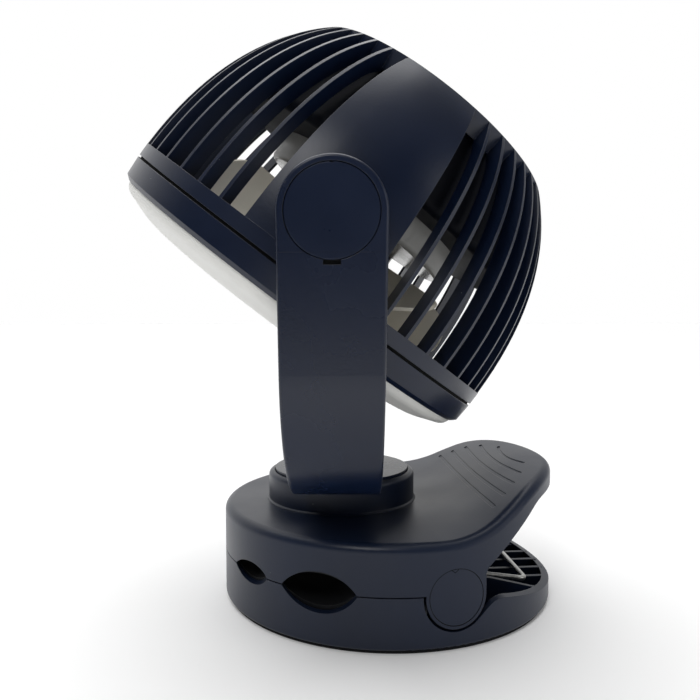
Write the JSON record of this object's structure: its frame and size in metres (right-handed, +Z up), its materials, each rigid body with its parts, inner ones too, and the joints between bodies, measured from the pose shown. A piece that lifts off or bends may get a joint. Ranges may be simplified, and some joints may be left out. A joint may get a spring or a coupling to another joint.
{
  "type": "clip fan",
  "caption": "Clip-on desk fan with a ribbed domed head, ring light, U-shaped yoke and a round spring clamp that doubles as its foot.",
  "frame": {"origin": "centre of the foot pad's underside", "axes": "+Z up, +X towards the clamp's lever, -X towards its mouth, Y along the clamp's hinge pin"},
  "size_m": [0.1667, 0.1764, 0.221],
  "materials": {
    "clamp_plastic": "fine matte moulding texture",
    "yoke_plastic": "fine matte moulding texture",
    "shell_plastic": "fine matte moulding texture",
    "bezel_plastic": "fine matte moulding texture",
    "cover_plastic": "fine matte moulding texture",
    "inner_plastic": "plain matte",
    "cup_plastic": "semi-gloss",
    "foot_rubber": "matte",
    "grip_rubber": "matte",
    "spring_steel": "zinc plated",
    "pin_steel": "plain steel",
    "screw_steel": "zinc plated",
    "washer_nylon": "plain nylon",
    "motor_metal": "zinc plated",
    "cell_wrap": "shrink wrap over metal cans",
    "board_laminate": "solder mask",
    "socket_metal": "plated",
    "window_clear": "translucent",
    "button_plastic": "matte",
    "diffuser_plastic": "frosted translucent",
    "led_phosphor": "phosphor",
    "grille_plastic": "matte",
    "impeller_plastic": "semi-gloss"
  },
  "bodies": {
    "lower_clamp": {"lower_jaw": "clamp_plastic", "foot_pad": "foot_rubber", "lower_grip_pad": "grip_rubber", "hinge_pin": "pin_steel", "clamp_spring": "spring_steel"},
    "upper_clamp": {"upper_jaw": "clamp_plastic", "upper_grip_pad": "grip_rubber", "hinge_cover_near": "cover_plastic", "hinge_cover_far": "cover_plastic", "swivel_turret": "clamp_plastic", "turret_screws": "screw_steel"},
    "yoke_body": {"yoke": "yoke_plastic", "swivel_disc": "yoke_plastic", "swivel_retainer": "inner_plastic", "friction_washer": "washer_nylon", "swivel_screws": "screw_steel", "arm_cover_near": "cover_plastic", "arm_cover_far": "cover_plastic"},
    "head": {"rear_shell": "shell_plastic", "pivot_washers": "washer_nylon", "pivot_screws": "screw_steel", "motor_pod": "inner_plastic", "motor_cup": "cup_plastic", "cup_screws": "screw_steel", "motor": "motor_metal", "motor_screws": "screw_steel", "battery_cradle": "inner_plastic", "battery_cells": "cell_wrap", "circuit_board": "board_laminate", "usb_socket": "socket_metal", "back_cap": "shell_plastic", "cap_screws": "screw_steel", "charge_window": "window_clear", "front_ring": "bezel_plastic", "led_ring_board": "board_laminate", "led_chips": "led_phosphor", "light_diffuser": "diffuser_plastic", "front_grille": "grille_plastic", "grille_hub_cap": "cover_plastic"},
    "fan_rotor": {"impeller": "impeller_plastic", "motor_shaft": "pin_steel", "hub_clip": "inner_plastic"},
    "fan_switch": {"fan_button": "button_plastic"},
    "light_switch": {"light_button": "button_plastic"}
  },
  "joints": [
    {"name": "clamp_hinge", "type": "hinge", "parent": "lower_clamp", "child": "upper_clamp", "pos_m": [0.015, 0, 0.0182], "axis": [0, 1, 0], "range_deg": [0, 36], "stiffness_Nm_per_rad": 1.6, "springref_deg": -40.11, "deforming": ["clamp_spring"]},
    {"name": "swivel", "type": "hinge", "parent": "upper_clamp", "child": "yoke_body", "pos_m": [-0.0186, 0, 0.0494], "axis": [0, 0, 1], "range_deg": [-180, 180]},
    {"name": "head_tilt", "type": "hinge", "parent": "yoke_body", "child": "head", "pos_m": [-0.0186, 0, 0.142], "axis": [0.1089, 0.9941, 0], "range_deg": [-37, 143]},
    {"name": "fan_spin", "type": "hinge", "parent": "head", "child": "fan_rotor", "pos_m": [-0.03161, 0.00143, 0.12469], "axis": [0.5996, -0.0657, 0.7976], "continuous": true},
    {"name": "fan_button_press", "type": "slide", "parent": "head", "child": "fan_switch", "axis": [-0.5996, 0.0657, -0.7976], "range_m": [0, 0.0007], "stiffness_N_per_m": 1500, "springref_m": -0.0003},
    {"name": "light_button_press", "type": "slide", "parent": "head", "child": "light_switch", "axis": [-0.5996, 0.0657, -0.7976], "range_m": [0, 0.0007], "stiffness_N_per_m": 1500, "springref_m": -0.0003}
  ]
}
